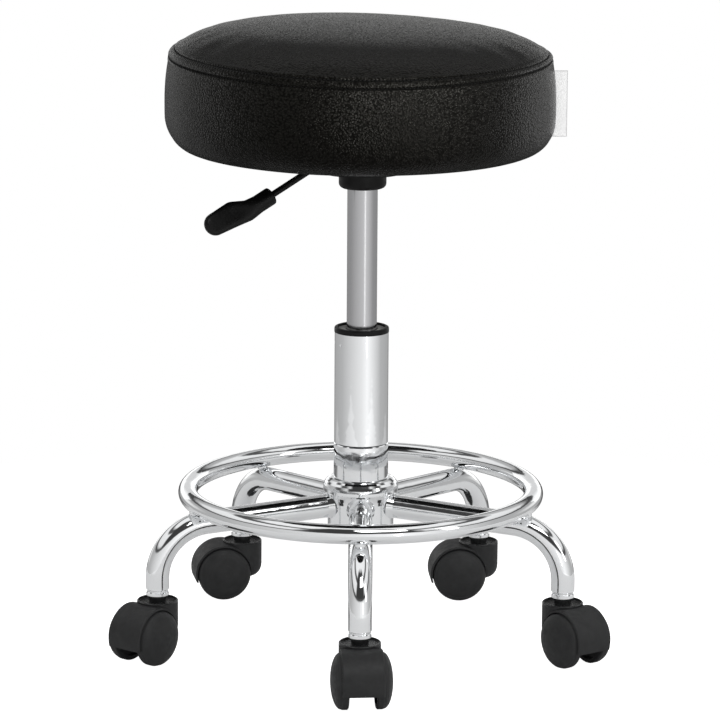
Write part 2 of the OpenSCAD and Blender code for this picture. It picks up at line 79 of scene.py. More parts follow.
# ---- Node trees, for the floor, the surroundings and the materials ----

MIX_A = 6  # a colour mix's first colour, by the number of its socket
MIX_B = 7  # its second colour
MIX_RESULT = 2


class Graph:
    """A node tree in the making. Its textures lie in one space, such as the object's own."""

    def __init__(self, tree, space):
        self.tree = tree
        self.place = self.add("ShaderNodeTexCoord").outputs[space]

    def add(self, kind, **settings):
        made = self.tree.nodes.new(kind)
        for name, value in settings.items():
            setattr(made, name, value)
        return made

    def link(self, source, target):
        self.tree.links.new(source, target)

    def put(self, value, target):
        """Sets a socket to a number or a colour, or links it to another node's output."""
        if isinstance(value, bpy.types.NodeSocket):
            self.link(value, target)
        else:
            target.default_value = value

    def combine(self, operation, a, b=0.0):
        made = self.add("ShaderNodeMath", operation=operation)
        self.put(a, made.inputs[0])
        self.put(b, made.inputs[1])
        return made.outputs[0]

    def spread(self, value, low, high, from_low=0.0, from_high=1.0, curve="LINEAR"):
        """Turns the range from_low to from_high into low to high, and holds the ends beyond it."""
        made = self.add("ShaderNodeMapRange", interpolation_type=curve)
        ends = {"From Min": from_low, "From Max": from_high, "To Min": low, "To Max": high}
        for name, number in ends.items():
            made.inputs[name].default_value = number
        self.link(value, made.inputs["Value"])
        return made.outputs[0]

    def fade(self, value, ends):
        """Rises smoothly from 0 at the first end to 1 at the second."""
        return self.spread(value, 0, 1, *ends, curve="SMOOTHSTEP")

    def mix(self, share, first, second):
        made = self.add("ShaderNodeMix", data_type="RGBA")
        self.put(share, made.inputs[0])
        self.put(first, made.inputs[MIX_A])
        self.put(second, made.inputs[MIX_B])
        return made.outputs[MIX_RESULT]

    def levels(self, value, stops):
        """The brightness at this value, from (place, brightness) stops with straight lines between them."""
        made = self.add("ShaderNodeValToRGB")
        elements = made.color_ramp.elements
        for place, _ in stops[1:-1]:
            elements.new(place)
        for element, (place, bright) in zip(elements, stops):
            element.position = place
            element.color = (bright, bright, bright, 1)
        self.link(value, made.inputs[0])
        return made.outputs[0]

    def axis(self, letter):
        made = self.add("ShaderNodeSeparateXYZ")
        self.link(self.place, made.inputs[0])
        return made.outputs["XYZ".index(letter)]

    def seen_apart(self, reflected, seen):
        """One shader for the camera's own rays, and another for all other rays."""
        either = self.add("ShaderNodeMixShader")
        self.link(self.add("ShaderNodeLightPath").outputs["Is Camera Ray"], either.inputs[0])
        self.link(reflected, either.inputs[1])
        self.link(seen, either.inputs[2])
        return either.outputs[0]


# ---- Stage: floor, lights and surroundings ----

FLOOR_R = 0.8
FLOOR_SIDES = 96
FLOOR_PALE = (0.82, 0.82, 0.82, 1)
FLOOR_DARK = (0.03, 0.03, 0.03, 1)
FLOOR_FADE = (0.22, 0.42)  # how far behind the stool it starts to darken, and is dark
FLOOR_ROUGHNESS = 0.7
FLOOR_SHINE = 0.1
WALL_TOP = (0.30, 0.36)  # where the strips give way to the bands, as the sine of the height
BACKDROP_EDGE = (0.3, 0.8)  # where the backdrop starts and is full, as the cosine from straight behind
BACKDROP_COLOR = (0.95, 0.95, 0.94, 1)
FRONT_SHADE_EDGE = (0.85, 0.62)  # where the dark opening starts and is full, radians from the front
BACK_SHADE_EDGE = (2.35, 2.75)  # the same for the dark wall behind
SHADE_COLOR = (0.05, 0.05, 0.05, 1)
WHITE = (1, 1, 1, 1)
STRIPS = (  # a dark wall behind, grey side walls, and a white front wall that is brightest to the right
    (0.00, 0.05),
    (0.04, 0.05),
    (0.07, 0.40),
    (0.25, 0.50),
    (0.50, 0.90),
    (0.57, 1.10),
    (0.75, 0.50),
    (0.93, 0.40),
    (0.96, 0.05),
    (1.00, 0.05),
)
BANDS = (  # brightness above the strips, from the horizon to straight up
    (0.00, 0.10),
    (0.40, 0.08),
    (0.47, 0.85),
    (0.70, 0.95),
    (0.74, 0.10),
    (0.80, 0.10),
    (0.85, 0.95),
    (1.00, 1.00),
)
BACKDROP = (  # share of the paler backdrop behind, from half below the horizon to half above it
    (0.00, 0.0),
    (0.44, 0.0),
    (0.48, 1.0),
    (0.60, 1.0),
    (0.72, 0.0),
    (1.00, 0.0),
)
SHADE_BEHIND = (  # share of the dark wall behind, from the horizon to straight up
    (0.00, 0.0),
    (0.24, 0.0),
    (0.34, 0.5),
    (0.66, 0.5),
    (0.76, 0.0),
    (1.00, 0.0),
)
SHADE = (  # share of the dark opening above the camera, from the horizon to straight up
    (0.00, 0.0),
    (0.37, 0.0),
    (0.42, 1.0),
    (0.93, 1.0),
    (0.98, 0.0),
    (1.00, 0.0),
)
STUDIO_LIGHTS = (  # name, place, what it points at, width and height in metres, watts
    ("key", (0.5, -1.7, 2.2), (0, 0, 0.5), (1.2, 0.8), 14),
    ("side", (1.7, -1.1, 1.0), (0, 0, 0.5), (0.35, 1.0), 3),
    ("glint", (0.375, -0.93, 0.2), (0, 0, 0.4), (0.06, 0.24), 0.1),
)
LEATHER_LIGHTS = (  # these reach only the leather and its stitches,
    ("softbox", (0.72, -1.42, 0.32), (0, 0, 0.32), (0.32, 0.6), 22),
    ("softbox_high", (0.42, -1.3, 1.5), (0, 0, 0.55), (0.6, 0.6), 5),
    ("softbox_left", (-1.5, 0.45, 0.28), (0, 0, 0.28), (1.2, 0.5), 2.1),
    ("softbox_right", (1.3, 0.9, 0.28), (0, 0, 0.28), (0.8, 0.5), 1.7),
)
CHROME_LIGHTS = (  # and these only the chrome
    ("back_panel", (0, 2.5, 0.66), (0, 0, 0.2), (4.4, 0.8), 7.5),
    ("floor_panel", (0, -0.1, 0.001), (0, -0.1, 1), (1.6, 1.4), 1.0),
)


def make_floor():
    """A disc of pale floor. The camera sees it as even white, so that it has no edge in the picture."""
    mesh = bpy.data.meshes.new("floor")
    turns = [FULL_TURN * k / FLOOR_SIDES for k in range(FLOOR_SIDES)]
    rim = [(FLOOR_R * math.cos(a), FLOOR_R * math.sin(a), 0) for a in turns]
    mesh.from_pydata(rim, [], [tuple(range(FLOOR_SIDES))])
    floor = bpy.data.objects.new("floor", mesh)
    bpy.context.scene.collection.objects.link(floor)
    material = bpy.data.materials.new("floor_white")
    material.use_nodes = True
    graph = Graph(material.node_tree, "Object")
    shader = graph.tree.nodes["Principled BSDF"]
    shader.inputs["Roughness"].default_value = FLOOR_ROUGHNESS
    shader.inputs["Specular IOR Level"].default_value = FLOOR_SHINE
    behind = graph.fade(graph.axis("Y"), FLOOR_FADE)
    graph.link(graph.mix(behind, FLOOR_PALE, FLOOR_DARK), shader.inputs["Base Color"])
    glow = graph.add("ShaderNodeEmission")
    glow.inputs["Strength"].default_value = 1.0
    both = graph.add("ShaderNodeAddShader")
    graph.link(shader.outputs[0], both.inputs[0])
    graph.link(glow.outputs[0], both.inputs[1])
    surface = graph.tree.nodes["Material Output"].inputs["Surface"]
    graph.link(graph.seen_apart(shader.outputs[0], both.outputs[0]), surface)
    mesh.materials.append(material)


def make_world():
    """A pale room whose soft bands the chrome shows, and plain white where the camera sees past the floor."""
    world = bpy.data.worlds.new("studio")
    bpy.context.scene.world = world
    world.use_nodes = True
    world.node_tree.nodes.clear()
    graph = Graph(world.node_tree, "Generated")
    y, z = graph.axis("Y"), graph.axis("Z")
    turn = graph.combine("ARCTAN2", graph.axis("X"), graph.combine("MULTIPLY", y, -1.0))
    aside = graph.combine("ABSOLUTE", turn)
    round_share = graph.combine("ADD", graph.combine("DIVIDE", turn, FULL_TURN), 0.5)
    walls = graph.levels(round_share, STRIPS)
    room = graph.mix(graph.fade(z, WALL_TOP), walls, graph.levels(z, BANDS))
    low = graph.levels(graph.combine("ADD", z, 0.5), BACKDROP)
    behind = graph.combine("MULTIPLY", graph.fade(y, BACKDROP_EDGE), low)
    backed = graph.mix(behind, room, BACKDROP_COLOR)
    dark_front = graph.combine("MULTIPLY", graph.fade(aside, FRONT_SHADE_EDGE), graph.levels(z, SHADE))
    dark_back = graph.combine("MULTIPLY", graph.fade(aside, BACK_SHADE_EDGE), graph.levels(z, SHADE_BEHIND))
    shaded = graph.mix(graph.combine("MAXIMUM", dark_front, dark_back), backed, SHADE_COLOR)
    around, white = (graph.add("ShaderNodeBackground") for _ in range(2))
    graph.put(shaded, around.inputs[0])
    graph.put(WHITE, white.inputs[0])
    surface = graph.add("ShaderNodeOutputWorld").inputs[0]
    graph.link(graph.seen_apart(around.outputs[0], white.outputs[0]), surface)


def area_light(name, place, target, size, power):
    data = bpy.data.lights.new(name, "AREA")
    data.shape = "RECTANGLE"
    data.size, data.size_y = size
    data.energy = power
    light = bpy.data.objects.new(name, data)
    light.location = place
    light.rotation_euler = (Vector(target) - Vector(place)).to_track_quat("-Z", "Y").to_euler()
    light.visible_camera = False
    bpy.context.scene.collection.objects.link(light)
    return light


def make_stage():
    make_floor()
    make_world()
    for light in STUDIO_LIGHTS:
        area_light(*light)
    view = bpy.context.scene.view_settings
    view.view_transform = "Standard"
    view.look = "None"


make_stage()

# ---- Sizes of the seat, in metres, from the boxes of the nodes that its cover wraps ----

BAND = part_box("seat_side_band")
SEAT_R = BAND[1][0]
SEAT_LOW = BAND[0][2]
SEAM_Z = BAND[1][2]
SEAT_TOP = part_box("seat_top_panel")[1][2]
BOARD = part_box("seat_board")
HEM_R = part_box("dust_cover")[1][0]
SEAM_INSET = 4 * MM
BULGE_Z = SEAT_LOW + 43 * MM  # where the side is widest
CORNER_W = 36 * MM  # width of the rounding between the side and the underside
CORNER_POWER = 2.85  # 2 is an ellipse, and more is squarer
EDGE_RISE = 16 * MM  # how far the top falls at its edge, down to the seam
EDGE_POWER = 8
LINE_GAP = 7.4 * MM  # between the two stitched lines
SEAM_LIFT = 5 * MM  # how much higher the stitched lines run at the sides than at the front
COVER_SHIFT = -2.7 * MM  # the padding is a little thicker on the left side of the board
COVER_SWELL = 0.9 * MM  # how much fuller the cover is than the plain outline
LABEL_TUCK = 1.7 * MM  # how much deeper than in the CAD part the label is sewn in
STITCH_PITCH = 3.5 * MM  # from one stitch to the next
STITCHES = round(FULL_TURN * (SEAT_R - SEAM_INSET) / STITCH_PITCH)

# ---- Materials ----


class Finish(Graph):
    """A Principled material in the making, with its textures in the object's own space."""

    def __init__(self, name, color, roughness, metallic=0.0, **sockets):
        self.material = bpy.data.materials.new(name)
        self.material.use_nodes = True
        super().__init__(self.material.node_tree, "Object")
        self.shader = self.tree.nodes["Principled BSDF"]
        self.shader.inputs["Base Color"].default_value = (*color, 1)
        self.shader.inputs["Roughness"].default_value = roughness
        self.shader.inputs["Metallic"].default_value = metallic
        for socket, value in sockets.items():
            self.shader.inputs[socket.replace("_", " ")].default_value = value

    def stretched(self, scale):
        mapping = self.add("ShaderNodeMapping")
        mapping.inputs["Scale"].default_value = scale
        self.link(self.place, mapping.inputs["Vector"])
        return mapping.outputs[0]

    def noise(self, scale, detail=3.0, stretch=None, distortion=0.0):
        made = self.add("ShaderNodeTexNoise")
        made.inputs["Scale"].default_value = scale
        made.inputs["Detail"].default_value = detail
        made.inputs["Distortion"].default_value = distortion
        self.link(self.stretched(stretch) if stretch else self.place, made.inputs["Vector"])
        return made.outputs["Fac"]

    def wobbled(self, scale, amount):
        """The place, pushed about by coloured noise."""
        bend = self.add("ShaderNodeTexNoise")
        bend.inputs["Scale"].default_value = scale
        self.link(self.place, bend.inputs["Vector"])
        mix = self.add("ShaderNodeMix", data_type="RGBA", blend_type="LINEAR_LIGHT")
        mix.inputs[0].default_value = amount
        self.link(self.place, mix.inputs[MIX_A])
        self.link(bend.outputs["Color"], mix.inputs[MIX_B])
        return mix.outputs[MIX_RESULT]

    def cells(self, scale, wobble=0.0):
        made = self.add("ShaderNodeTexVoronoi")
        made.inputs["Scale"].default_value = scale
        self.link(self.wobbled(scale / 3, wobble) if wobble else self.place, made.inputs["Vector"])
        return made.outputs["Distance"]

    def tint(self, value, dark, light, from_low=0.3, from_high=0.7):
        share = self.spread(value, 0, 1, from_low, from_high)
        self.link(self.mix(share, (*dark, 1), (*light, 1)), self.shader.inputs["Base Color"])

    def rough(self, value, low, high, from_low=0.3, from_high=0.7):
        self.link(self.spread(value, low, high, from_low, from_high), self.shader.inputs["Roughness"])

    def bump(self, value, depth):
        """Raises the surface by up to this depth, on top of the bumps that it has."""
        made = self.add("ShaderNodeBump")
        made.inputs["Distance"].default_value = depth
        made.inputs["Strength"].default_value = 1.0
        self.link(value, made.inputs["Height"])
        if self.shader.inputs["Normal"].is_linked:
            self.link(self.shader.inputs["Normal"].links[0].from_socket, made.inputs["Normal"])
        self.link(made.outputs[0], self.shader.inputs["Normal"])


def chrome():
    made = Finish("chrome_plating", color=(0.86, 0.87, 0.88), roughness=0.05, metallic=1.0)
    made.rough(made.noise(60, detail=4), low=0.035, high=0.09)
    made.bump(made.noise(45, detail=2), depth=0.25 * MM)
    return made.material


def satin_steel():
    made = Finish("satin_steel", color=(0.52, 0.52, 0.53), roughness=0.2, metallic=1.0)
    rings = made.noise(40, detail=4, stretch=(1, 1, 60))
    made.rough(rings, low=0.14, high=0.24)
    made.bump(rings, depth=0.02 * MM)
    return made.material


def zinc():
    made = Finish("zinc_plating", color=(0.60, 0.60, 0.58), roughness=0.35, metallic=1.0)
    made.tint(made.cells(400), (0.50, 0.50, 0.49), (0.68, 0.68, 0.66), from_low=0.0, from_high=0.8)
    made.rough(made.noise(300, detail=4), low=0.28, high=0.45)
    return made.material


def black_paint():
    made = Finish("black_powder_paint", color=(0.004, 0.004, 0.004), roughness=0.38, Specular_IOR_Level=0.16)
    made.tint(made.noise(120, detail=4), (0.003, 0.003, 0.003), (0.006, 0.006, 0.006))
    made.rough(made.noise(200), low=0.3, high=0.45)
    made.bump(made.noise(1400, detail=2), depth=0.05 * MM)
    return made.material


def black_plastic():
    made = Finish("black_plastic", color=(0.004, 0.004, 0.004), roughness=0.32, Specular_IOR_Level=0.18)
    made.tint(made.noise(90), (0.003, 0.003, 0.003), (0.006, 0.006, 0.006))
    made.rough(made.noise(150, detail=4), low=0.26, high=0.42)
    made.bump(made.noise(2500, detail=2), depth=0.03 * MM)
    return made.material


COLLAR_Z = (54 * MM, 54.6 * MM)  # the caster's smoother stem socket starts between these heights


def caster_nylon():
    """Scuffed dark nylon, smoother on the socket of the caster's stem."""
    made = Finish("caster_nylon", color=(0.016, 0.016, 0.017), roughness=0.5, Specular_IOR_Level=0.4)
    scuffs = made.noise(70, detail=5, distortion=0.6)
    made.tint(scuffs, (0.013, 0.0133, 0.014), (0.021, 0.0215, 0.022))
    grain = made.spread(made.noise(220, detail=4), low=0.44, high=0.6, from_low=0.3, from_high=0.7)
    socket = made.spread(made.axis("Z"), 1, 0.25, *COLLAR_Z)
    made.link(made.combine("MULTIPLY", grain, socket), made.shader.inputs["Roughness"])
    made.bump(made.cells(1500), depth=0.06 * MM)
    return made.material


def bush_plastic():
    made = Finish("bush_plastic", color=(0.08, 0.08, 0.08), roughness=0.45)
    made.rough(made.noise(180), low=0.4, high=0.55)
    return made.material


def rubber():
    made = Finish("bumper_rubber", color=(0.02, 0.02, 0.02), roughness=0.8)
    made.bump(made.noise(900), depth=0.1 * MM)
    return made.material


def plywood():
    made = Finish("plywood", color=(0.55, 0.40, 0.24), roughness=0.65)
    grain = made.noise(25, detail=6, stretch=(14, 1, 40), distortion=0.4)
    made.tint(grain, (0.38, 0.25, 0.13), (0.62, 0.47, 0.29))
    made.bump(grain, depth=0.2 * MM)
    return made.material


def foam():
    made = Finish("seat_foam", color=(0.75, 0.70, 0.52), roughness=0.95)
    made.bump(made.cells(1200), depth=0.3 * MM)
    return made.material


STITCHED_EDGE = 14 * MM  # the stitched lines lie within this of the widest place
# The leather's shine colour, and the black that painted shade dims it to
SHINE_COLOR = (1.0, 0.97, 0.89, 1)
NO_SHINE = (0, 0, 0, 1)


def line_distance(made, turn):
    """Metres from the nearest stitched line, or 1 where the place isn't near the edge of the seat."""
    lift = made.combine("MULTIPLY", made.combine("POWER", made.combine("COSINE", turn), 2), SEAM_LIFT)
    below = made.combine("SUBTRACT", made.combine("ADD", lift, SEAM_Z), made.axis("Z"))
    lines = [made.combine("ABSOLUTE", made.combine("SUBTRACT", below, line)) for line in (0.0, LINE_GAP)]
    squares = [made.combine("POWER", made.axis(letter), 2) for letter in "XY"]
    at_edge = made.combine("GREATER_THAN", made.combine("ADD", *squares), (SEAT_R - STITCHED_EDGE) ** 2)
    return made.combine("MAXIMUM", made.combine("MINIMUM", *lines), made.combine("SUBTRACT", 1, at_edge))


def leather():
    """Pebbled black leather, puckered along two lines of stitches. Painted shade dims its shine towards its
    underside, in the stitched grooves and between the pebbles.
    """
    made = Finish("black_leather", color=(0.003, 0.0028, 0.0023), roughness=0.42, Specular_IOR_Level=0.16)
    pebbles = made.cells(540, wobble=0.0008)
    made.tint(pebbles, (0.003, 0.0028, 0.0023), (0.0014, 0.0013, 0.0011), from_low=0.2, from_high=0.8)
    made.rough(pebbles, low=0.20, high=0.34, from_low=0.1, from_high=0.8)
    turn = made.combine("ARCTAN2", made.axis("Y"), made.axis("X"))
    nearest = line_distance(made, turn)
    stitch = made.combine("COSINE", made.combine("MULTIPLY", turn, STITCHES))
    calm = made.spread(nearest, 0.3, 1, from_low=0.5 * MM, from_high=2.5 * MM)
    fine = made.combine("MULTIPLY", made.noise(2600, detail=2), 0.25)
    height = made.combine("ADD", made.spread(pebbles, 1, 0, from_low=0.0, from_high=0.8), fine)
    made.bump(made.noise(110, detail=2), depth=0.2 * MM)
    made.bump(made.combine("MULTIPLY", height, calm), depth=0.5 * MM)
    near = made.spread(nearest, 1, 0, from_low=0.4 * MM, from_high=2.6 * MM)
    made.bump(made.combine("MULTIPLY", stitch, near), depth=0.16 * MM)
    # Painted shade towards the underside: the shine drops to 0.14 of it just above the hem
    raised = made.spread(made.axis("Z"), 0.14, 1, from_low=SEAT_LOW + 8 * MM, from_high=SEAT_LOW + 78 * MM)
    # Painted shade in the stitched grooves: the shine drops to 0.15 right at the lines
    groove_painted_shade = made.spread(nearest, 0.15, 1, from_low=0.35 * MM, from_high=0.95 * MM)
    # Painted shade between the pebbles: the shine drops to 0.2 in the furrows of the grain
    furrow_painted_shade = made.spread(pebbles, 1, 0.2, from_low=0.3, from_high=0.75)
    shine_with_painted_shade = made.combine("MULTIPLY", made.combine("MULTIPLY", raised, groove_painted_shade), furrow_painted_shade)
    made.link(made.mix(shine_with_painted_shade, NO_SHINE, SHINE_COLOR), made.shader.inputs["Specular Tint"])
    return made.material


def thread():
    made = Finish("black_thread", color=(0.004, 0.004, 0.004), roughness=0.75, Specular_IOR_Level=0.15)
    made.bump(made.noise(5000, detail=2, stretch=(1, 1, 4)), depth=0.08 * MM)
    return made.material


def dust_fabric():
    made = Finish("dust_cover_fabric", color=(0.012, 0.012, 0.013), roughness=0.9)
    made.tint(made.cells(700), (0.009, 0.009, 0.010), (0.022, 0.022, 0.023), from_low=0.1, from_high=0.8)
    made.bump(made.cells(1300), depth=0.15 * MM)
    return made.material


LABEL_THREADS = 11000  # radians per metre of its weave
LABEL_GLOW = {"Emission_Color": WHITE, "Emission_Strength": 0.22}  # a painted glow, which makes it as white as the background


def label_fabric():
    """White woven tape with a grey line round its edge, which glows a little with painted light."""
    made = Finish("white_woven_label", color=(0.9, 0.9, 0.9), roughness=0.75, **LABEL_GLOW)
    across, along = (made.combine("MULTIPLY", made.axis(letter), LABEL_THREADS) for letter in "XZ")
    weave = made.combine("MULTIPLY", made.combine("SINE", across), made.combine("SINE", along))
    made.bump(weave, depth=0.05 * MM)
    low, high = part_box("side_label")
    edges = (
        made.combine("SUBTRACT", high[0] + COVER_SHIFT + COVER_SWELL - LABEL_TUCK, made.axis("X")),
        made.combine("SUBTRACT", high[2], made.axis("Z")),
        made.combine("SUBTRACT", made.axis("Z"), low[2]),
    )
    edge = made.combine("MINIMUM", made.combine("MINIMUM", edges[0], edges[1]), edges[2])
    plain = made.spread(edge, 0, 1, from_low=0.5 * MM, from_high=0.9 * MM)
    pale = made.combine("ADD", plain, made.combine("MULTIPLY", weave, 0.04))
    made.tint(pale, (0.5, 0.5, 0.5), (0.96, 0.96, 0.96), from_low=0, from_high=1)
    return made.material


MATERIALS = {
    "chrome": chrome(),
    "satin_steel": satin_steel(),
    "zinc_steel": zinc(),
    "black_steel": black_paint(),
    "black_plastic": black_plastic(),
    "caster_nylon": caster_nylon(),
    "bush_plastic": bush_plastic(),
    "bumper_rubber": rubber(),
    "plywood": plywood(),
    "seat_foam": foam(),
    "black_leather": leather(),
    "dust_fabric": dust_fabric(),
    "label_fabric": label_fabric(),
}
THREAD = thread()


def dress_cad_nodes():
    for part in frame["record"]["subparts"]:
        slots = NODES[part["node"]].data.materials
        slots.clear()
        slots.append(MATERIALS[part["material_slot"]])


dress_cad_nodes()

# ---- Soft pieces and smooth pieces built in mesh code ----


def add_piece(name, points, faces, body, slot_name, replaced=(), material=None):
    """Makes one smooth piece from points in metres, puts it on its body and hides the parts that it replaces.

    It gets its slot's material, unless it has one of its own.
    """
    mesh = bpy.data.meshes.new(name)
    mesh.from_pydata(points, [], faces)
    mesh.validate()
    mesh.shade_smooth()
    mesh.materials.append(material or MATERIALS[slot_name])
    piece = bpy.data.objects.new(name, mesh)
    bpy.context.scene.collection.objects.link(piece)
    work = bmesh.new()
    work.from_mesh(mesh)
    bmesh.ops.recalc_face_normals(work, faces=work.faces)
    work.to_mesh(mesh)
    work.free()
    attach(piece, body)
    if replaced:
        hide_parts(*replaced)
    return piece


def sharpen(piece, degrees):
    """Keeps the edges that turn more than this sharp, and the rest smooth."""
    mesh = piece.data
    work = bmesh.new()
    work.from_mesh(mesh)
    limit = math.radians(degrees)
    for edge in work.edges:
        edge.smooth = not (len(edge.link_faces) == 2 and edge.calc_face_angle() > limit)
    work.to_mesh(mesh)
    work.free()


def grid_faces(rows, columns, first=0):
    """Quads of a grid whose rows close on themselves."""
    faces = []
    for row in range(rows - 1):
        low = first + row * columns
        for k in range(columns):
            after = (k + 1) % columns
            faces.append((low + k, low + after, low + columns + after, low + columns + k))
    return faces


def fan_faces(tip, first, columns, outward=True):
    """Triangles from one point to the ring of points that starts at first."""
    pairs = [(first + k, first + (k + 1) % columns) for k in range(columns)]
    return [(tip, a, b) if outward else (tip, b, a) for a, b in pairs]


def at_turn(r, a, z):
    """The point this far from the column's axis, at this turn and height."""
    return (r * math.cos(a), r * math.sin(a), z)


# ---- The cushion's plain outline ----

TOP_STEPS = 400
SIDE_STEPS = 60
CORNER_STEPS = 200
SMALLEST_STEP = 1e-7  # points closer together than this are one
NORMAL_REACH = 1.5 * MM  # the outline's direction is taken this far to both sides
FIRST_RING = 6 * MM
WIDEST_TOP_RING = 4.5 * MM
WIDEST_SIDE_RING = 2.6 * MM
FINEST_RING = 0.32 * MM
RING_GROWTH = 0.24  # how much wider the rings get with the distance from a stitched line


def outline_points():
    """(r, z) from the middle of the top, over the seam and the side, to the hem under the board."""
    seam_r = SEAT_R - SEAM_INSET
    dome = SEAT_TOP - SEAM_Z - EDGE_RISE
    points = []
    for k in range(TOP_STEPS):
        f = math.sin(math.pi / 2 * k / (TOP_STEPS - 1))
        points.append((seam_r * f, SEAM_Z + dome * (1 - f**2) + EDGE_RISE * (1 - f**EDGE_POWER)))
    for k in range(1, SIDE_STEPS + 1):
        f = 1 - k / SIDE_STEPS
        points.append((SEAT_R - SEAM_INSET * f**2, BULGE_Z + f * (SEAM_Z - BULGE_Z)))
    for k in range(1, CORNER_STEPS + 1):
        a = math.pi / 2 * k / CORNER_STEPS
        r = SEAT_R - CORNER_W * (1 - max(math.cos(a), 0.0) ** (2 / CORNER_POWER))
        points.append((r, BULGE_Z - (BULGE_Z - SEAT_LOW) * math.sin(a) ** (2 / CORNER_POWER)))
    points.append((HEM_R, SEAT_LOW))
    return points


class Outline:
    """The outline by its length from the middle of the top."""

    def __init__(self):
        self.points = np.array(outline_points())
        steps = np.linalg.norm(np.diff(self.points, axis=0), axis=1)
        self.points = self.points[np.concatenate(([True], steps > SMALLEST_STEP))]
        steps = np.linalg.norm(np.diff(self.points, axis=0), axis=1)
        self.length = np.concatenate(([0.0], np.cumsum(steps)))
        self.total = self.length[-1]
        off_seam = self.points - (SEAT_R - SEAM_INSET, SEAM_Z)
        self.seam = float(self.length[np.argmin(np.hypot(off_seam[:, 0], off_seam[:, 1]))])

    def at(self, s):
        """The point or points (r, z) at this length or these lengths."""
        return np.stack([np.interp(s, self.length, self.points[:, k]) for k in (0, 1)], axis=-1)

    def normal(self, s):
        """Which way the leather faces there, as (r, z)."""
        after, before = np.minimum(s + NORMAL_REACH, self.total), np.maximum(s - NORMAL_REACH, 0.0)
        along = self.at(after) - self.at(before)
        along /= np.linalg.norm(along, axis=-1, keepdims=True)
        return np.stack((-along[..., 1], along[..., 0]), axis=-1)


def ring_places(outline):
    """Where the rings of the mesh lie: close together at the stitched lines."""
    lines = (outline.seam, outline.seam + LINE_GAP)
    s = FIRST_RING
    places = [s]
    while s < outline.total:
        near = min(abs(s - line) for line in lines)
        widest = WIDEST_TOP_RING if s < outline.seam else WIDEST_SIDE_RING
        s += min(widest, FINEST_RING + RING_GROWTH * near)
        places.append(min(s, outline.total))
    return np.array(places)


# ---- The cushion's seams, creases and uneven padding ----

SEAM_HUMPS = (  # two stitched grooves and their lips: mm below the upper line, height and width in mm
    (0.0, -1.05, 0.75),
    (LINE_GAP / MM, -0.85, 0.7),
    (-2.3, 0.55, 1.5),
    (LINE_GAP / MM + 2.2, 0.45, 1.5),
)
BAND_PUFF = 0.6 * MM  # how far the leather puffs out between the two lines
BAND_POWER = 0.7  # under 1, it puffs out close to the lines too
HEM_PLAIN = 26 * MM  # the cover's shift and swell end this far before the hem,
HEM_FADE = 40 * MM  # after fading out over this length,
TOP_FADE = 120 * MM  # and fade in over this length from the middle of the top


def seam_relief(below):
    """Height of the leather over the plain outline, this far below the upper stitched line."""
    height = BAND_PUFF * np.sin(np.pi * np.clip(below / LINE_GAP, 0, 1)) ** BAND_POWER
    for middle, tall, wide in SEAM_HUMPS:
        height += tall * MM * np.exp(-(((below / MM - middle) / wide) ** 2))
    return height


def seam_lift(turn):
    """How far the stitched lines lie above the plain seam at this turn, 0 at the front."""
    return SEAM_LIFT * math.cos(turn) ** 2


def cover_offset(s, turn, outline):
    """How far the leather lies outside the plain outline because of its uneven padding."""
    share = np.clip((outline.total - HEM_PLAIN - s) / HEM_FADE, 0, 1) * np.clip(s / TOP_FADE, 0, 1)
    return share * (COVER_SWELL + COVER_SHIFT * np.cos(turn))


PAD_RINGS = 90
PAD_TURNS = 128
PAD_INSET = 3 * MM  # how much smaller it starts
PAD_VOXEL = 5 * MM
PAD_CAP = 6 * MM  # no point of the pad moves further than this
PAD_FRAMES = 20
HELD_SEAM = 4 * MM  # the pad is held this close above and below the seam,
HELD_EDGE = 20 * MM  # this far in from the edge,
HELD_HEM = 8 * MM  # and this far up from its underside
PAD_CLOTH = {  # settings of the cloth simulation
    "quality": 5,
    "mass": 0.4,
    "tension_stiffness": 12,
    "compression_stiffness": 12,
    "shear_stiffness": 6,
    "bending_stiffness": 0.6,
    "tension_damping": 8,
    "compression_damping": 8,
    "use_pressure": True,
    "uniform_pressure_force": 4.0,
    "vertex_group_mass": "held",
    "shrink_min": -0.012,
}


def pad_mesh(outline):
    """A closed, plain copy of the cushion, a little smaller, to blow up."""
    turns = [FULL_TURN * k / PAD_TURNS for k in range(PAD_TURNS)]
    points = [(0, 0, outline.at(0)[1] - PAD_INSET)]
    for s in np.linspace(FIRST_RING, outline.total, PAD_RINGS):
        r, z = outline.at(s) - PAD_INSET * outline.normal(s)
        points += [at_turn(r, a, z) for a in turns]
    faces = fan_faces(0, 1, PAD_TURNS)
    faces += grid_faces(PAD_RINGS, PAD_TURNS, 1)
    faces.append([1 + (PAD_RINGS - 1) * PAD_TURNS + k for k in range(PAD_TURNS)])
    mesh = bpy.data.meshes.new("pad")
    mesh.from_pydata(points, [], faces)
    return mesh


def evaluated(thing):
    """A new mesh of this object as its modifiers leave it."""
    return bpy.data.meshes.new_from_object(thing.evaluated_get(bpy.context.evaluated_depsgraph_get()))


def vertex_places(mesh):
    places = np.empty(len(mesh.vertices) * 3)
    mesh.vertices.foreach_get("co", places)
    return places.reshape(-1, 3)


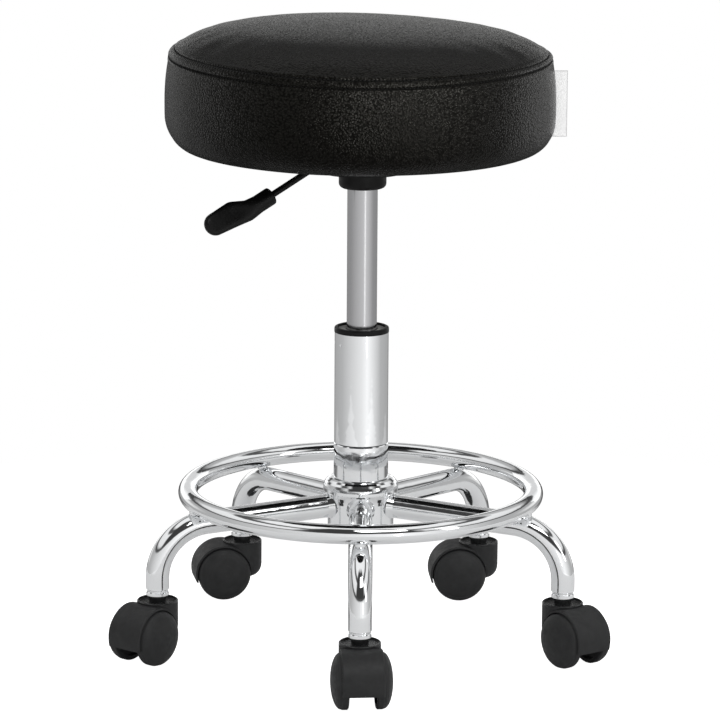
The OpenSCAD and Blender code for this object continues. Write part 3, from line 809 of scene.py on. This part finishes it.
def blown_pad(outline):
    """Cloth simulation of the cover under the foam's pressure, held at the seam and the hem."""
    scene = bpy.context.scene
    pad = bpy.data.objects.new("pad_work", pad_mesh(outline))
    scene.collection.objects.link(pad)
    remesh = pad.modifiers.new("remesh", "REMESH")
    remesh.mode = "VOXEL"
    remesh.voxel_size = PAD_VOXEL
    remesh.use_smooth_shade = True
    ready = evaluated(pad)
    pad.modifiers.clear()
    pad.data = ready
    start = vertex_places(ready)
    held = pad.vertex_groups.new(name="held")
    for k, (x, y, z) in enumerate(start):
        at_seam = abs(z - SEAM_Z) < HELD_SEAM and math.hypot(x, y) > SEAT_R - HELD_EDGE
        if z < SEAT_LOW + HELD_HEM or at_seam:
            held.add([k], 1.0, "REPLACE")
    cloth = pad.modifiers.new("cloth", "CLOTH")
    for name, value in PAD_CLOTH.items():
        setattr(cloth.settings, name, value)
    cloth.settings.effector_weights.gravity = 0
    cloth.point_cache.frame_start, cloth.point_cache.frame_end = 1, PAD_FRAMES
    for step in range(1, PAD_FRAMES + 1):
        scene.frame_set(step)
    blown = evaluated(pad)
    move = vertex_places(blown) - start
    far = np.maximum(np.linalg.norm(move, axis=1), 1e-9)
    place = start + move * np.minimum(1, PAD_CAP / far)[:, None]
    polygons = [tuple(p.vertices) for p in blown.polygons]
    tree = BVHTree.FromPolygons([Vector(p) for p in place], polygons)
    scene.frame_set(1)
    bpy.data.objects.remove(pad)
    return tree


def soften(field, times):
    """Averages a rings-by-turns field with its neighbours."""
    for _ in range(times):
        field = (np.roll(field, 1, 1) + 2 * field + np.roll(field, -1, 1)) / 4
        padded = np.vstack((field[:1], field, field[-1:]))
        field = (padded[:-2] + 2 * field + padded[2:]) / 4
    return field


PROBE = 12 * MM  # how far inside the outline each ray towards the blown pad starts
SOFTENINGS = 6


def pad_swell(outline, base, normals, turns):
    """How far the blown pad stands out at each place, less the mean of its ring."""
    tree = blown_pad(outline)
    swell = np.zeros(base.shape[:2])
    for i, j in np.ndindex(swell.shape):
        (r, z), (nr, nz), a = base[i, j], normals[i, j], turns[j]
        out = Vector(at_turn(nr, a, nz))
        far = tree.ray_cast(Vector(at_turn(r, a, z)) - out * PROBE, out, 2 * PROBE)[3]
        swell[i, j] = (far - PROBE) if far is not None else 0.0
    return soften(swell - swell.mean(1, keepdims=True), SOFTENINGS)


WAVE_HEIGHT = 0.3 * MM
WAVE_SCALE = 11
WAVE_PLACE = 3  # which part of the noise the waves are taken from
HEM_W = 22 * MM  # the part that is folded under the board
PLEATS = 40
PLEAT_DEPTH = 0.45 * MM
PLEAT_UNEVEN = 0.4
CREASES = (  # turn in degrees, how far above the upper seam in mm, reach round, reach up, depth
    (-97, 7, 3.2, 5, 0.8),
    (-88, 5, 2.2, 4, 0.35),
    (-119, 6, 2.6, 5, 0.3),
    (-62, 5, 2.4, 4, 0.3),
    (-35, 6, 2.8, 5, 0.35),
    (-148, 6, 2.6, 5, 0.3),
)
CREASE_ZONE = 22  # mm from the seam
CREASE_LEAN = 0.35  # mm aside for each mm up
CREASE_ENDS = 4  # a crease stops at this many times its reach round
SIDE_GROOVE = 0.8 * MM
SIDE_LIP = 0.3 * MM
SIDE_LIP_PLACE = 2.6  # mm from the groove
SIDE_LIP_W = 1.4


def waves(r, a, z):
    """Slow unevenness all over the leather."""
    x, y, z = at_turn(r * WAVE_SCALE, a, z * WAVE_SCALE)
    return WAVE_HEIGHT * noise.noise(Vector((x, y, z + WAVE_PLACE)))


def pleat(a, inward):
    """Folds of the leather where it is pulled round under the board, deepest at the hem."""
    fold = 0.5 * (1 - math.cos(PLEATS * a)) * (1 + PLEAT_UNEVEN * noise.noise(Vector((a * 9, 0, 5))))
    return PLEAT_DEPTH * inward * fold


def crease(a, above):
    """Depth of the slanting creases at this turn, this many mm above the upper stitched line."""
    depth = 0.0
    for turn, middle, wide, tall, deep in CREASES:
        across = ((math.degrees(a) - turn + 180) % 360 - 180) * math.radians(1) * SEAT_R / MM
        lean = across + CREASE_LEAN * (above - middle)
        if abs(lean) < CREASE_ENDS * wide:
            depth += deep * MM * math.exp(-((lean / wide) ** 2) - ((above - middle) / tall) ** 2)
    return depth


def side_seam(turns):
    """The sewn seam of the side band, on the right, where the label is: a groove with two lips."""
    across = np.abs((turns + math.pi) % FULL_TURN - math.pi) * SEAT_R / MM
    lips = SIDE_LIP * np.exp(-(((across - SIDE_LIP_PLACE) / SIDE_LIP_W) ** 2))
    return lips - SIDE_GROOVE * np.exp(-(across**2))


COVER_COLUMNS = 288
SEAM_COLUMNS = (0.6, 1.2, 2.2)  # mm from the side seam to the extra columns of the mesh beside it
LIFT_REACH = 38 * MM  # the lift of the stitched lines dies out about this far from them
SWELL_CAP = 0.5 * MM
SWELL_START = 120 * MM  # the pad's unevenness grows from here,
SWELL_GROWTH = 50 * MM  # over this length,
SWELL_LEAST = 0.12  # from this share in the middle of the top
HEM_GAP = 0.1 * MM  # how far under the board the leather lies,
BOARD_GAP = 0.2 * MM  # beside it,
FOAM_GAP = 1.5 * MM  # and above it


def cover_turns():
    """Even turns, and a few more beside the side seam."""
    turns = [FULL_TURN * k / COVER_COLUMNS for k in range(COVER_COLUMNS)]
    for aside in SEAM_COLUMNS:
        turns += [aside * MM / SEAT_R, FULL_TURN - aside * MM / SEAT_R]
    return np.array(sorted(turns))


def cover_height(outline, plain, base, normals, places, turns):
    """How far each point of the leather stands out from the plain outline."""
    height = seam_relief(plain - outline.seam)[:, None] + cover_offset(places, turns[None, :], outline)
    under = plain > outline.total - HEM_W
    swell = pad_swell(outline, base, normals, turns)
    edge = np.clip((plain - SWELL_START) / SWELL_GROWTH, SWELL_LEAST, 1) * ~under
    height += np.clip(swell, -SWELL_CAP, SWELL_CAP) * edge[:, None]
    for i, j in np.ndindex(height.shape):
        (r, z), a = base[i, j], turns[j]
        height[i, j] += waves(r, a, z)
        if under[i]:
            height[i, j] += pleat(a, (plain[i] - outline.total + HEM_W) / HEM_W)
        above = (outline.seam - plain[i]) / MM
        if abs(above) < CREASE_ZONE:
            height[i, j] -= crease(a, above)
    at_side = (plain > outline.seam + LINE_GAP - 1 * MM) & ~under
    return height + at_side[:, None] * side_seam(turns)[None, :]


def make_cover():
    """The upholstered cushion: leather over foam, wrapped round the board, which its inner side follows."""
    outline, turns = Outline(), cover_turns()
    plain = ring_places(outline)
    near = np.exp(-((np.abs(plain - outline.seam - LINE_GAP / 2) / LIFT_REACH) ** 4))
    places = plain[:, None] - near[:, None] * np.array([seam_lift(a) for a in turns])[None, :]
    base, normals = outline.at(places), outline.normal(places)
    rows, columns = places.shape
    place = base + cover_height(outline, plain, base, normals, places, turns)[..., None] * normals
    points = [(0.0, 0.0, float(SEAT_TOP))]
    points += [at_turn(float(r), turns[j], float(z)) for ring in place for j, (r, z) in enumerate(ring)]
    board_r, board_low, board_top = BOARD[1][0], BOARD[0][2], BOARD[1][2]
    inner = (
        (HEM_R, board_low - HEM_GAP),
        (board_r + BOARD_GAP, board_low - HEM_GAP),
        (board_r + BOARD_GAP, board_top + FOAM_GAP),
        (board_r * 0.5, board_top + FOAM_GAP),
    )
    for r, z in inner:
        points += [at_turn(r, a, z) for a in turns]
    rows += len(inner)
    points.append((0.0, 0.0, inner[-1][1]))
    faces = fan_faces(0, 1, columns)
    faces += grid_faces(rows, columns, 1)
    faces += fan_faces(len(points) - 1, 1 + (rows - 1) * columns, columns, outward=False)
    wrapped = ("seat_top_panel", "seat_side_band", "seat_foam")
    cover = add_piece("seat_cover", points, faces, "seat", "black_leather", wrapped)
    return outline


# ---- Stitches ----

STITCH_LENGTH = 2.7 * MM
STITCH_R = 0.42 * MM
STITCH_SIDES = 6
STITCH_RINGS = ((-0.42, 0.62), (-0.18, 1.0), (0.18, 1.0), (0.42, 0.62))  # place along it, share of its radius
STITCH_ROWS = ((0.0, 0.62, 0.0), (LINE_GAP, 0.5, 0.5))  # below the upper line, mm deep, shift in stitches
STITCH_RISE = 0.35  # how far its middle stands out, in radii,
STITCH_ARCH = 2.2  # and how fast it dips towards its ends
STITCH_SWAY = 0.05  # how far the stitches lie out of line


def stitch_points(middle, out, along):
    """One small bar of thread: a tip, its rings, and the other tip."""
    third = out.cross(along)
    tips = [middle + along * STITCH_LENGTH * end / 2 - out * STITCH_R for end in (-1, 1)]
    points = [tips[0]]
    for share, wide in STITCH_RINGS:
        rise = STITCH_RISE - STITCH_ARCH * share**2
        centre = middle + along * STITCH_LENGTH * share + out * STITCH_R * rise
        for m in range(STITCH_SIDES):
            b = FULL_TURN * m / STITCH_SIDES
            points.append(centre + (out * math.cos(b) + third * math.sin(b)) * STITCH_R * wide)
    return points + [tips[1]]


def make_stitches(outline):
    """Two rows of thread along the edge of the seat, one small rounded bar for each stitch."""
    points, faces = [], []
    for below, depth, shift in STITCH_ROWS:
        for k in range(STITCHES):
            a = FULL_TURN * (k + shift) / STITCHES
            place = outline.seam + below - seam_lift(a)
            (r, z), (nr, nz) = outline.at(place), outline.normal(place)
            sink = depth * MM - cover_offset(place, a, outline)
            slope = SEAM_LIFT * math.sin(2 * a) / SEAT_R
            along = Vector((-math.sin(a), math.cos(a), STITCH_SWAY * math.sin(k * 2.3) - slope)).normalized()
            middle = Vector(at_turn(r - sink * nr, a, z - sink * nz))
            first = len(points)
            points += stitch_points(middle, Vector(at_turn(nr, a, nz)), along)
            end = len(points) - 1
            faces += grid_faces(len(STITCH_RINGS), STITCH_SIDES, first + 1)
            faces += fan_faces(first, first + 1, STITCH_SIDES, outward=False)
            faces += fan_faces(end, end - STITCH_SIDES, STITCH_SIDES)
    add_piece("seat_stitches", points, faces, "seat", "black_leather", material=THREAD)


# ---- Side label ----

LABEL_SEWN = 1.2 * MM  # how far inside the leather it starts
LABEL_THICK = 0.34 * MM
LABEL_GAP = 0.28 * MM  # half the gap between its two layers
LABEL_BOW = 0.9 * MM  # how far its outer end bends aside,
LABEL_RIPPLE = 0.5 * MM  # and how far it ripples up its height
LABEL_ROWS = 28
LABEL_STEPS = 10
FOLD_STEPS = 8


def label_section(root, tip):
    """The folded tape seen from above: its path doubled to the tape's thickness, as (x, y)."""
    fold = LABEL_GAP + LABEL_THICK / 2
    flat = tip - root - fold
    path = [(root + flat * k / LABEL_STEPS, fold) for k in range(LABEL_STEPS + 1)]
    bends = [math.pi * k / FOLD_STEPS for k in range(1, FOLD_STEPS)]
    path += [(tip - fold + fold * math.sin(a), fold * math.cos(a)) for a in bends]
    path += [(root + flat * (LABEL_STEPS - k) / LABEL_STEPS, -fold) for k in range(LABEL_STEPS + 1)]
    outer, inner = [], []
    for k, (px, py) in enumerate(path):
        before, after = path[max(k - 1, 0)], path[min(k + 1, len(path) - 1)]
        dx, dy = after[0] - before[0], after[1] - before[1]
        size = math.hypot(dx, dy) / (LABEL_THICK / 2)
        outer.append((px - dy / size, py + dx / size))
        inner.append((px + dy / size, py - dx / size))
    return outer + inner[::-1]


def make_label():
    """A woven tape folded double and sewn into the side seam."""
    low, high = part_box("side_label")
    shift = COVER_SHIFT + COVER_SWELL - LABEL_TUCK
    root, tip = SEAT_R - LABEL_SEWN + shift, high[0] + shift
    reach = tip - root
    section = label_section(root, tip)
    points = []
    for row in range(LABEL_ROWS + 1):
        v = row / LABEL_ROWS
        z = low[2] + (high[2] - low[2]) * v
        sway = LABEL_BOW * math.sin(2.2 * v + 0.4) - LABEL_RIPPLE * math.sin(6 * v)
        points += [(px, py + max(0.0, (px - root) / reach) ** 2 * sway, z) for px, py in section]
    columns = len(section)
    faces = grid_faces(LABEL_ROWS + 1, columns)
    for first in (0, LABEL_ROWS * columns):
        ends = [(first + k, first + columns - 1 - k) for k in range(columns // 2)]
        faces += [(a, c, d, b) for (a, b), (c, d) in zip(ends, ends[1:])]
    label = add_piece("woven_label", points, faces, "seat", "label_fabric", ("side_label",))
    sharpen(label, degrees=40)


# ---- Dust cloth ----

DUST_HOLE = 46.5 * MM  # radius, round the dish of the mounting plate
DUST_TURNS = 160
DUST_ROWS = 26
DUST_THICK = 0.42 * MM
DUST_DEPTH = 0.15 * MM  # how far its upper side lies under the board
SLACK_START = 80 * MM  # radius where it hangs free of the plate
PULL_START = 112 * MM  # radius where the staples start to pull it
STAPLE_PULLS = 40
PULL_DEPTH = 0.128 * MM
SAG_DEPTH = 0.4 * MM
SAG_UNEVEN = 0.44 * MM


def cloth_sag(r, a, rim):
    """How far the cloth hangs down at this radius and turn."""
    slack = max(0.0, math.sin(math.pi * (r - SLACK_START) / (rim - SLACK_START))) if r > SLACK_START else 0.0
    fold = noise.noise(Vector(at_turn(5, a, r * 12)))
    pull = math.cos(STAPLE_PULLS * a) * max(0.0, (r - PULL_START) / (rim - PULL_START))
    return slack * (SAG_DEPTH + SAG_UNEVEN * fold) + PULL_DEPTH * abs(pull)


def make_dust_cover():
    """Thin black cloth stretched under the board, a little slack between the plate and the hem."""
    low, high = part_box("dust_cover")
    rim = high[0] - 0.1 * MM
    outward = [k / DUST_ROWS for k in range(DUST_ROWS + 1)]
    points = []
    for drop, shares in ((DUST_THICK, outward), (0.0, outward[::-1])):
        for share in shares:
            r = DUST_HOLE + (rim - DUST_HOLE) * share
            for k in range(DUST_TURNS):
                a = FULL_TURN * k / DUST_TURNS
                points.append(at_turn(r, a, high[2] - DUST_DEPTH - drop - cloth_sag(r, a, rim)))
    faces = grid_faces(2 * (DUST_ROWS + 1), DUST_TURNS)
    last = (2 * DUST_ROWS + 1) * DUST_TURNS
    joins = [(k, (k + 1) % DUST_TURNS) for k in range(DUST_TURNS)]
    faces += [(last + a, last + b, b, a) for a, b in joins]
    cloth = add_piece("dust_cloth", points, faces, "seat", "dust_fabric", ("dust_cover",))
    sharpen(cloth, degrees=50)


# ---- Lever handle ----

LEVER_TURN = 210  # degrees
LEVER_SLOPE = 26.5  # degrees down
LEVER_KNEE = (44 * MM, 458.5 * MM)  # where the rod bends, along the ground and up
HANDLE_START = 95.8 * MM
HANDLE_TWIST = 25  # degrees round its own length
HANDLE_DISCS = ((27.5, 0.2, 9.6), (41, 4.6, 11.8), (60, 5.8, 10.4))  # along, across, radius in mm
DISC_STEPS = 60  # how many steps from each of those to the next the grip's edge is drawn round
HANDLE_SIDES = 48
SLEEVE_END = 16  # the handle is round up to here; this and all below are in mm
SLEEVE_R = 8.3
BORE_R = 3.05
BORE_DEPTH = 5.0
GRIP_THICK = 4.3  # half the grip's thickness
GRIP_START = 15  # where the sleeve starts to flatten,
GRIP_FULL = 24  # and over which length it does
ROUNDED_TIP = 9  # how much of its far end is rounded
MOUTH = {0.0: 0.8, 0.25: 0.35, 0.8: 0.08}  # how much smaller it is at its first mm, for a rounded mouth


def handle_edges(x):
    """Lowest and highest edge of the flat handle at x mm from its start."""
    if x <= SLEEVE_END:
        return -SLEEVE_R, SLEEVE_R
    chain = ((SLEEVE_END, 0.0, SLEEVE_R),) + HANDLE_DISCS
    low, high = math.inf, -math.inf
    for first, second in zip(chain, chain[1:]):
        for k in range(DISC_STEPS + 1):
            cx, cz, cr = (a + (b - a) * k / DISC_STEPS for a, b in zip(first, second))
            inside = cr**2 - (x - cx) ** 2
            if inside > 0:
                low, high = min(low, cz - math.sqrt(inside)), max(high, cz + math.sqrt(inside))
    return low, high


def handle_section(x, end):
    """(across, up) all round the handle at x mm from its start: a circle that turns into a hollowed grip."""
    low, high = handle_edges(x)
    middle, tall = (low + high) / 2, (high - low) / 2
    flat = min(max((x - GRIP_START) / GRIP_FULL, 0.0), 1.0)
    flat = flat * flat * (3 - 2 * flat)
    tip = max(0.0, (x - (end - ROUNDED_TIP)) / ROUNDED_TIP)
    thick = (SLEEVE_R + (GRIP_THICK - SLEEVE_R) * flat) * math.sqrt(max(1 - 0.93 * tip**3, 0.02))
    edge = MOUTH.get(x, 0.0)
    power = 2 / (2 + 0.9 * flat)
    section = []
    for k in range(HANDLE_SIDES):
        a = FULL_TURN * k / HANDLE_SIDES
        up = math.copysign(abs(math.cos(a)) ** power, math.cos(a))
        out = math.copysign(abs(math.sin(a)) ** power, math.sin(a))
        hollow = 1 - 0.16 * flat * (1 - up**2) ** 2 * (1 - tip)
        section.append(((thick - edge) * out * hollow, middle + (tall - edge) * up))
    return section


def make_handle():
    """A moulded paddle: a round sleeve that flattens into a grip with a raised edge all round."""
    end = HANDLE_DISCS[-1][0] + HANDLE_DISCS[-1][2]
    stations = [*MOUTH, 1.8]
    stations += [3.0 + 1.5 * k for k in range(10)]  # the sleeve
    stations += [18 + (end - 22) * k / 30 for k in range(31)]  # the grip
    stations += [end - 4 + 3.95 * math.sin(math.pi / 2 * k / 7) for k in range(1, 8)]  # its rounded end
    slope = math.radians(LEVER_SLOPE)
    place = (
        Matrix.Rotation(math.radians(LEVER_TURN), 4, "Z")
        @ Matrix.Translation((LEVER_KNEE[0], 0, LEVER_KNEE[1]))
        @ Matrix.Rotation(slope, 4, "Y")
        @ Matrix.Translation(((HANDLE_START - LEVER_KNEE[0]) / math.cos(slope), 0, 0))
        @ Matrix.Rotation(math.radians(HANDLE_TWIST), 4, "X")
    )
    turns = [FULL_TURN * k / HANDLE_SIDES for k in range(HANDLE_SIDES)]
    bore = [(BORE_R * math.sin(a), BORE_R * math.cos(a)) for a in turns]
    rings = [(BORE_DEPTH, bore), (0.0, bore)] + [(x, handle_section(x, end)) for x in stations]
    points = [place @ (Vector((x, across, up)) * MM) for x, section in rings for across, up in section]
    points.append(place @ (Vector((end, 0, HANDLE_DISCS[-1][1])) * MM))
    faces = grid_faces(len(rings), HANDLE_SIDES)
    faces.append(tuple(reversed(range(HANDLE_SIDES))))
    faces += fan_faces(len(points) - 1, (len(rings) - 1) * HANDLE_SIDES, HANDLE_SIDES, outward=False)
    handle = add_piece("paddle_handle", points, faces, "lever", "black_plastic", ("lever_handle",))
    sharpen(handle, degrees=55)


make_stitches(make_cover())
make_label()
make_dust_cover()
make_handle()

# ---- Lights for one material alone ----


def light_apart(names, lights):
    """Lights that reach these pieces alone, as they'd be lit in a picture put together from several shots."""
    only = bpy.data.collections.new(f"lit_by_{lights[0][0]}")
    for name in names:
        only.objects.link(bpy.data.objects[name])
    for light in lights:
        area_light(*light).light_linking.receiver_collection = only


CHROME_NODES = [part["node"] for part in frame["record"]["subparts"] if part["material_slot"] == "chrome"]
light_apart(("seat_cover", "seat_stitches"), LEATHER_LIGHTS)
light_apart(CHROME_NODES, CHROME_LIGHTS)
